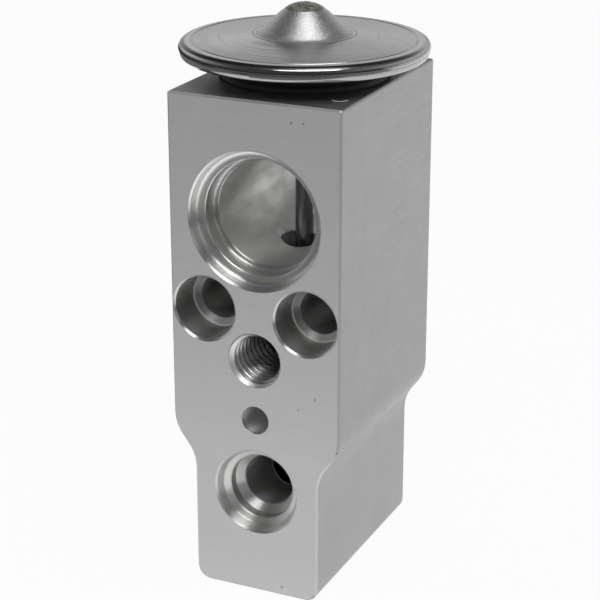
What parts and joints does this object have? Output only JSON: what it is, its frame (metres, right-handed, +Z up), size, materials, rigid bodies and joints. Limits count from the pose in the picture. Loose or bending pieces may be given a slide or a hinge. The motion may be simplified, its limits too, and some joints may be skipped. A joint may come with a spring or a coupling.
{
  "type": "thermostatic expansion valve",
  "caption": "Block-type thermostatic expansion valve: ported aluminium block under a round welded power head, with sensing rod, ball and spring inside.",
  "frame": {"origin": "centre of the block's foot, on the surface it stands on, under the valve's axis", "axes": "+Z up the valve's axis to the power head, -Y out of the line face with the stud hole, +Y out of the evaporator face, X across the block"},
  "size_m": [0.0346, 0.0346, 0.0822],
  "materials": {
    "block": "brushed extrusion, machined bores",
    "shell": "pressed stainless steel, satin",
    "plug": "satin",
    "sealant": "cured compound, uneven",
    "diaphragm": "bright sheet",
    "stop": "turned",
    "seal": "matt black",
    "rod": "ground",
    "spring_steel": "satin",
    "ball": "polished",
    "holder": "turned",
    "screw": "turned"
  },
  "bodies": {
    "block": {"valve_body": "block", "upper_diaphragm_cover": "shell", "charge_plug": "plug", "plug_sealant": "sealant", "lower_diaphragm_housing": "shell", "diaphragm": "diaphragm", "head_o_ring": "seal", "rod_o_ring": "seal", "rod_ring_retainer": "spring_steel", "superheat_spring": "spring_steel"},
    "valve_train": {"diaphragm_stop": "stop", "sensing_rod": "rod", "valve_ball": "ball", "ball_holder": "holder", "holder_damping_ring": "spring_steel"},
    "screw_seal": {"adjusting_screw_o_ring": "seal"},
    "screw": {"adjusting_screw": "screw"}
  },
  "joints": [
    {"name": "valve_lift", "type": "slide", "parent": "block", "child": "valve_train", "axis": [0, 0, -1], "range_m": [0, 0.0008], "stiffness_N_per_m": 500, "springref_m": -0.004, "deforming": ["superheat_spring", "diaphragm"]},
    {"name": "adjusting_travel", "type": "slide", "parent": "block", "child": "screw_seal", "axis": [0, 0, 1], "range_m": [-0.001, 0.001], "deforming": ["superheat_spring"]},
    {"name": "adjusting_turn", "type": "hinge", "parent": "screw_seal", "child": "screw", "pos_m": [0, 0, 0.003], "axis": [0, 0, 1], "range_deg": [-360, 360]}
  ],
  "couplings": [
    {"joint": "adjusting_turn", "follows": "adjusting_travel", "rad_per_m": 6283}
  ]
}
